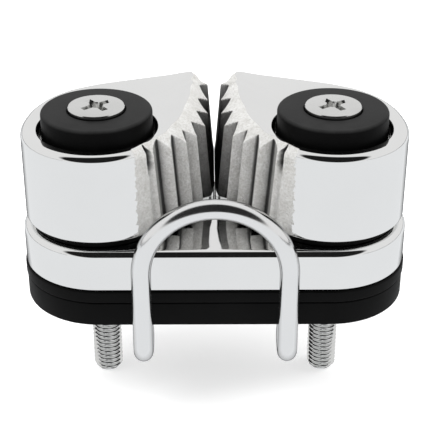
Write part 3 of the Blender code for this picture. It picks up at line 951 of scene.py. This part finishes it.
def mirrored_sky(tree):
    """What polished metal mirrors: pale, with a dark canopy over the front and a dark horizon.

    The horizon stays pale straight in front.
    """
    coord = tree.nodes.new("ShaderNodeTexCoord")
    canopy = tree.nodes.new("ShaderNodeVectorMath")
    canopy.operation = "DOT_PRODUCT"
    level, rise = polar(1.0, CANOPY_TILT)
    canopy.inputs[1].default_value = (0.0, -level, rise)
    tree.links.new(coord.outputs["Generated"], canopy.inputs[0])
    edge, full = CANOPY_EDGE
    sky = ramp(tree, canopy.outputs["Value"], ((edge, MIRRORED_SKY), (full, CANOPY_TONE)))
    axes = tree.nodes.new("ShaderNodeSeparateXYZ")
    tree.links.new(coord.outputs["Generated"], axes.inputs["Vector"])
    low, high = HORIZON_EDGE
    horizon = ramp(tree, axes.outputs["Z"], ((low, HORIZON_TONE), (high, 1.0)))
    front = tree.nodes.new("ShaderNodeMath")
    front.operation = "LESS_THAN"
    front.inputs[1].default_value = HORIZON_FRONT
    tree.links.new(axes.outputs["Y"], front.inputs[0])
    return multiplied(tree, sky, color_mix(tree, front.outputs["Value"], horizon, (1, 1, 1, 1)))


def build_world():
    """White all round, but for what polished metal mirrors."""
    world = bpy.data.worlds.new("studio")
    bpy.context.scene.world = world
    world.use_nodes = True
    tree = world.node_tree
    path = tree.nodes.new("ShaderNodeLightPath")
    tone = color_mix(tree, path.outputs["Is Glossy Ray"], (1, 1, 1, 1), mirrored_sky(tree))
    background = tree.nodes["Background"]
    tree.links.new(tone, background.inputs["Color"])
    background.inputs["Strength"].default_value = WORLD_STRENGTH


def build_lights():
    for name, place, size, power in LIGHTS:
        light = bpy.data.lights.new(name, "AREA")
        light.size = size * MM
        light.energy = power
        obj = bpy.data.objects.new(name, light)
        obj.location = Vector(place) * MM
        aim = Vector(LIGHT_TARGET) - Vector(place)
        obj.rotation_euler = aim.to_track_quat("-Z", "Y").to_euler()
        obj.visible_glossy = False
        bpy.context.scene.collection.objects.link(obj)


def build_camera():
    camera = bpy.data.cameras.new("camera")
    camera.lens = CAMERA_LENS
    camera.sensor_width = CAMERA_SENSOR
    camera.shift_x = CAMERA_SHIFT
    camera.clip_start = CAMERA_NEAR * MM
    obj = bpy.data.objects.new("camera", camera)
    obj.location = Vector(CAMERA_PLACE) * MM
    obj.rotation_euler = Vector(CAMERA_AIM).to_track_quat("-Z", "Y").to_euler()
    bpy.context.scene.collection.objects.link(obj)
    bpy.context.scene.camera = obj


def main():
    cast = metal("polished_casting", (0.86, 0.86, 0.855), (0.03, 0.09), 60.0, 0.004, 0.03)
    polished = metal("polished_rod", (0.85, 0.85, 0.85), (0.12, 0.2), 90.0, 0.003, 0.03, ROD_EDGE_REFLECTION)
    screw_steel = metal("screw_steel", (0.74, 0.74, 0.73), (0.12, 0.22), 160.0, 0.006, 0.06)
    ball_steel = metal("ground_ball_steel", (0.85, 0.85, 0.86), (0.03, 0.06), 200.0, 0.001, 0.02)
    spring_steel = metal("drawn_spring_wire", (0.5, 0.5, 0.52), (0.2, 0.35), 300.0, 0.004, 0.08)
    rough = rough_cast()
    pad = plastic("pad_black", (0.001, 0.003), (0.45, 0.62), 220.0, 0.02, 0.08, 1.0)
    bush = plastic("bush_black", (0.014, 0.03), (0.38, 0.55), 260.0, 0.04, 0.06, 0.1)
    for slab in SLABS:
        build_slab(*slab, cast if slab[1] == "base_plate" else pad)
    build_wire(polished)
    for label, side in SIDES.items():
        build_cam(label, side, cast, rough)
        build_bush(label, side, bush)
        build_screw(label, side, screw_steel)
        build_spring(label, side, spring_steel)
        dress(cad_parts[f"bush_sleeve_{label}"], polished)
        dress(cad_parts[f"thrust_washer_{label}"], bush)
        for number in range(1, BALLS + 1):
            dress(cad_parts[f"ball_{label}_{number:02d}"], ball_steel)
    build_floor()
    build_world()
    build_lights()
    build_camera()
    bpy.context.scene.view_settings.view_transform = "Standard"


main()
